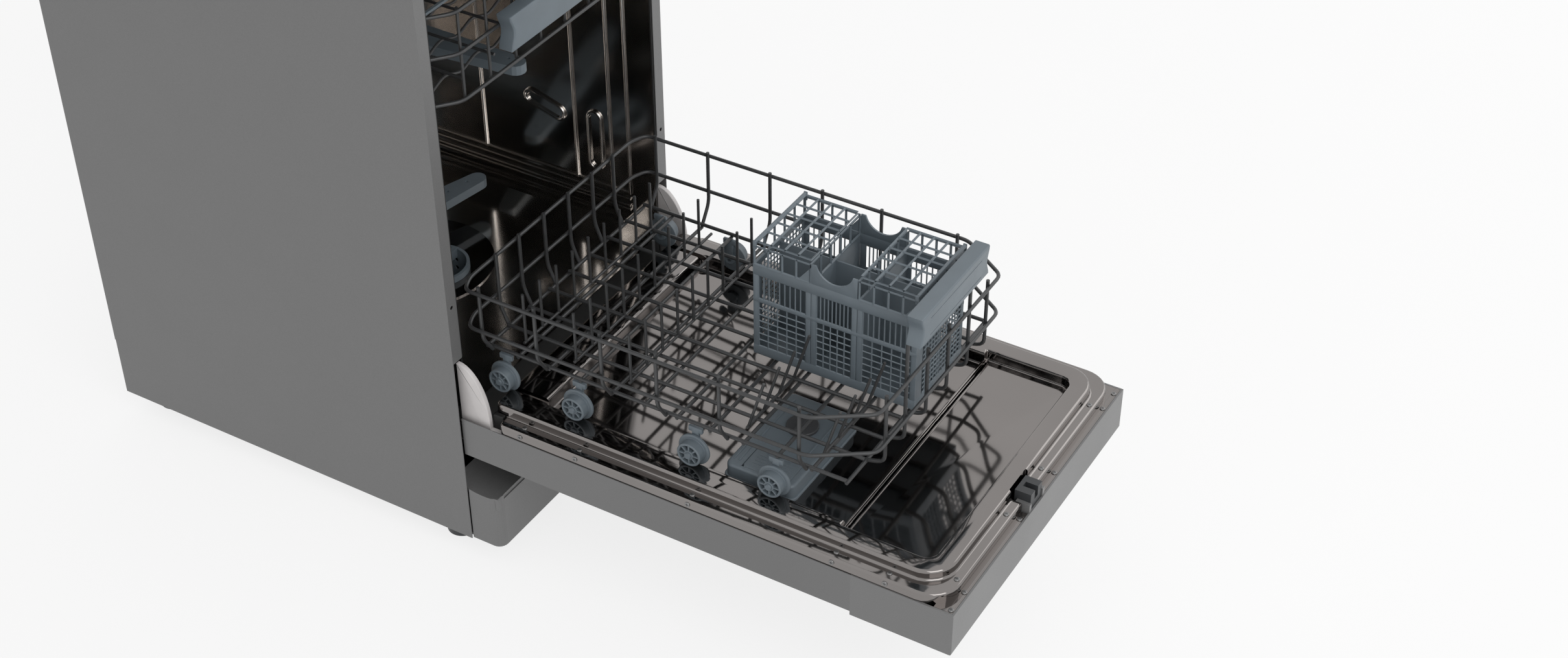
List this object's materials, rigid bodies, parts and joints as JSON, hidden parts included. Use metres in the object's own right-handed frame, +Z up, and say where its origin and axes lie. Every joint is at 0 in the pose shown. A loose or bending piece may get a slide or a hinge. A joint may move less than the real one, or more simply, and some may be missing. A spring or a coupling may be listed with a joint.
{
  "type": "freestanding dishwasher",
  "caption": "Slimline freestanding dishwasher with its drop-down door open, a wheeled lower basket rolled out on the door, a railed upper basket, spray arms and levelling feet.",
  "frame": {"origin": "on the floor, under the middle of the machine with its door open", "axes": "+Y from the open door towards the machine's back, +X to the right seen from the front, +Z up"},
  "size_m": [0.448, 1.2008, 0.85],
  "materials": {
    "body_paint": "satin",
    "housing_plastic": "satin",
    "tub_steel": "polished",
    "liner_steel": "polished",
    "zinc_steel": "satin",
    "spring_steel": "satin",
    "worktop_board": "matt laminate",
    "black_rubber": "matt",
    "base_plastic": "matt",
    "basket_plastic": "satin",
    "ear_plastic": "satin",
    "softener_plastic": "satin",
    "wire_coat": "coated",
    "ballast": "rough",
    "button_metal": "satin",
    "board": "matt",
    "dark_window": "gloss",
    "pump_plastic": "matt"
  },
  "bodies": {
    "cabinet": {"side_panels": "body_paint", "rear_panel": "body_paint", "worktop": "worktop_board", "tub": "tub_steel", "tub_seal": "black_rubber", "base_tray": "base_plastic", "plinth": "body_paint", "hinge_brackets": "zinc_steel", "hinge_springs": "spring_steel", "counterweight": "ballast", "sump": "base_plastic", "filter_plate": "liner_steel", "pumps": "pump_plastic", "water_softener": "softener_plastic", "rear_fittings": "base_plastic", "air_break": "softener_plastic", "feed_pipe": "basket_plastic", "rail_guides": "basket_plastic"},
    "door": {"door_panel": "body_paint", "control_housing": "housing_plastic", "door_liner": "liner_steel", "liner_screws": "zinc_steel", "hinge_levers": "ear_plastic", "door_seal": "black_rubber", "control_board": "board", "display_window": "dark_window", "dispenser": "basket_plastic"},
    "lower_basket": {"lower_floor": "wire_coat", "lower_frame": "wire_coat", "lower_tines": "wire_coat", "lower_handle": "basket_plastic", "wheel_clips": "basket_plastic"},
    "upper_basket": {"upper_floor": "wire_coat", "upper_frame": "wire_coat", "upper_handle": "basket_plastic", "spray_feed": "basket_plastic"},
    "foot_left": {"foot_left": "base_plastic"},
    "foot_right": {"foot_right": "base_plastic"},
    "filter_cup": {"filter_cup": "basket_plastic"},
    "salt_cap": {"salt_cap": "basket_plastic"},
    "lower_spray_arm": {"lower_spray_arm": "basket_plastic"},
    "power_button": {"power_button": "button_metal"},
    "program_button": {"program_button": "button_metal"},
    "start_button": {"start_button": "button_metal"},
    "door_latch": {"door_latch": "base_plastic"},
    "dispenser_lid": {"dispenser_lid": "basket_plastic"},
    "rinse_cap": {"rinse_cap": "base_plastic"},
    "folding_tines": {"folding_tines": "wire_coat"},
    "wheels_1": {"wheels_1": "basket_plastic"},
    "wheels_2": {"wheels_2": "basket_plastic"},
    "wheels_3": {"wheels_3": "basket_plastic"},
    "wheels_4": {"wheels_4": "basket_plastic"},
    "cutlery_basket": {"cutlery_basket": "basket_plastic"},
    "cutlery_lid_front": {"cutlery_lid_front": "basket_plastic"},
    "cutlery_lid_rear": {"cutlery_lid_rear": "basket_plastic"},
    "upper_rails": {"upper_rails": "zinc_steel"},
    "cup_shelf": {"cup_shelf": "basket_plastic"},
    "upper_spray_arm": {"upper_spray_arm": "basket_plastic"},
    "basket_rollers_front": {"basket_rollers_front": "ear_plastic"},
    "basket_rollers_rear": {"basket_rollers_rear": "ear_plastic"}
  },
  "joints": [
    {"name": "foot_left_turn", "type": "hinge", "parent": "cabinet", "child": "foot_left", "pos_m": [-0.185, 0.0854, 0.0145], "axis": [0, 0, 1], "continuous": true},
    {"name": "foot_right_turn", "type": "hinge", "parent": "cabinet", "child": "foot_right", "pos_m": [0.185, 0.0854, 0.0145], "axis": [0, 0, 1], "continuous": true},
    {"name": "filter_cup_twist", "type": "hinge", "parent": "cabinet", "child": "filter_cup", "pos_m": [0, 0.2404, 0.2145], "axis": [0, 0, 1], "range_deg": [0, 90]},
    {"name": "salt_cap_twist", "type": "hinge", "parent": "cabinet", "child": "salt_cap", "pos_m": [-0.11, 0.4804, 0.2195], "axis": [0, 0, 1], "range_deg": [0, 90]},
    {"name": "lower_spray_arm_spin", "type": "hinge", "parent": "cabinet", "child": "lower_spray_arm", "pos_m": [0, 0.3154, 0.2565], "axis": [0, 0, 1], "continuous": true},
    {"name": "door_hinge", "type": "hinge", "parent": "cabinet", "child": "door", "pos_m": [0, 0.0189, 0.1945], "axis": [1, 0, 0], "range_deg": [-35, 0], "deforming": ["hinge_springs"]},
    {"name": "power_button_press", "type": "slide", "parent": "door", "child": "power_button", "axis": [0, 0, 1], "range_m": [0, 0.0015], "stiffness_N_per_m": 300, "springref_m": -0.001},
    {"name": "program_button_press", "type": "slide", "parent": "door", "child": "program_button", "axis": [0, 0, 1], "range_m": [0, 0.0015], "stiffness_N_per_m": 300, "springref_m": -0.001},
    {"name": "start_button_press", "type": "slide", "parent": "door", "child": "start_button", "axis": [0, 0, 1], "range_m": [0, 0.0015], "stiffness_N_per_m": 300, "springref_m": -0.001},
    {"name": "door_latch_tilt", "type": "hinge", "parent": "door", "child": "door_latch", "pos_m": [-0.015, -0.5876, 0.2195], "axis": [1, 0, 0], "range_deg": [-12, 12], "stiffness_Nm_per_rad": 0.3},
    {"name": "dispenser_lid_hinge", "type": "hinge", "parent": "door", "child": "dispenser_lid", "pos_m": [-0.15, -0.3296, 0.239], "axis": [0, -1, 0], "range_deg": [0, 95]},
    {"name": "rinse_cap_twist", "type": "hinge", "parent": "door", "child": "rinse_cap", "pos_m": [-0.06, -0.3246, 0.2415], "axis": [0, 0, 1], "range_deg": [0, 90]},
    {"name": "lower_basket_slide", "type": "slide", "parent": "door", "child": "lower_basket", "axis": [0, 1, 0], "range_m": [0, 0.5]},
    {"name": "folding_tines_hinge", "type": "hinge", "parent": "lower_basket", "child": "folding_tines", "pos_m": [0, -0.1496, 0.29516], "axis": [-1, 0, 0], "range_deg": [0, 90]},
    {"name": "wheels_1_roll", "type": "hinge", "parent": "lower_basket", "child": "wheels_1", "pos_m": [0, 0.0108, 0.2547], "axis": [1, 0, 0], "continuous": true},
    {"name": "wheels_2_roll", "type": "hinge", "parent": "lower_basket", "child": "wheels_2", "pos_m": [0, -0.0914, 0.2547], "axis": [1, 0, 0], "continuous": true},
    {"name": "wheels_3_roll", "type": "hinge", "parent": "lower_basket", "child": "wheels_3", "pos_m": [0, -0.2476, 0.2547], "axis": [1, 0, 0], "continuous": true},
    {"name": "wheels_4_roll", "type": "hinge", "parent": "lower_basket", "child": "wheels_4", "pos_m": [0, -0.3516, 0.2547], "axis": [1, 0, 0], "continuous": true},
    {"name": "cutlery_basket_lift", "type": "slide", "parent": "lower_basket", "child": "cutlery_basket", "axis": [0, 0, -1], "range_m": [-0.2, 0]},
    {"name": "cutlery_lid_front_hinge", "type": "hinge", "parent": "cutlery_basket", "child": "cutlery_lid_front", "pos_m": [0.0315, -0.4457, 0.44741], "axis": [1, 0, 0], "range_deg": [0, 90]},
    {"name": "cutlery_lid_rear_hinge", "type": "hinge", "parent": "cutlery_basket", "child": "cutlery_lid_rear", "pos_m": [0.0315, -0.242, 0.44741], "axis": [-1, 0, 0], "range_deg": [0, 90]},
    {"name": "upper_basket_slide", "type": "slide", "parent": "cabinet", "child": "upper_basket", "axis": [0, -1, 0], "range_m": [-0.045, 0.38]},
    {"name": "upper_rails_slide", "type": "slide", "parent": "cabinet", "child": "upper_rails", "axis": [0, -1, 0], "range_m": [-0.027, 0.228]},
    {"name": "basket_rollers_front_roll", "type": "hinge", "parent": "upper_basket", "child": "basket_rollers_front", "pos_m": [0, 0.2754, 0.6661], "axis": [1, 0, 0], "continuous": true},
    {"name": "basket_rollers_rear_roll", "type": "hinge", "parent": "upper_basket", "child": "basket_rollers_rear", "pos_m": [0, 0.4854, 0.6661], "axis": [1, 0, 0], "continuous": true},
    {"name": "cup_shelf_hinge", "type": "hinge", "parent": "upper_basket", "child": "cup_shelf", "pos_m": [-0.17259, 0.2004, 0.6905], "axis": [0, -1, 0], "range_deg": [0, 85]},
    {"name": "upper_spray_arm_spin", "type": "hinge", "parent": "upper_basket", "child": "upper_spray_arm", "pos_m": [0, 0.2684, 0.5555], "axis": [0, 0, 1], "continuous": true}
  ],
  "couplings": [
    {"joint": "wheels_1_roll", "follows": "lower_basket_slide", "rad_per_m": -65.79},
    {"joint": "wheels_2_roll", "follows": "lower_basket_slide", "rad_per_m": -65.79},
    {"joint": "wheels_3_roll", "follows": "lower_basket_slide", "rad_per_m": -65.79},
    {"joint": "wheels_4_roll", "follows": "lower_basket_slide", "rad_per_m": -65.79},
    {"joint": "upper_rails_slide", "follows": "upper_basket_slide", "ratio": 0.6},
    {"joint": "basket_rollers_front_roll", "follows": "upper_basket_slide", "rad_per_m": 39.216},
    {"joint": "basket_rollers_rear_roll", "follows": "upper_basket_slide", "rad_per_m": 39.216}
  ]
}
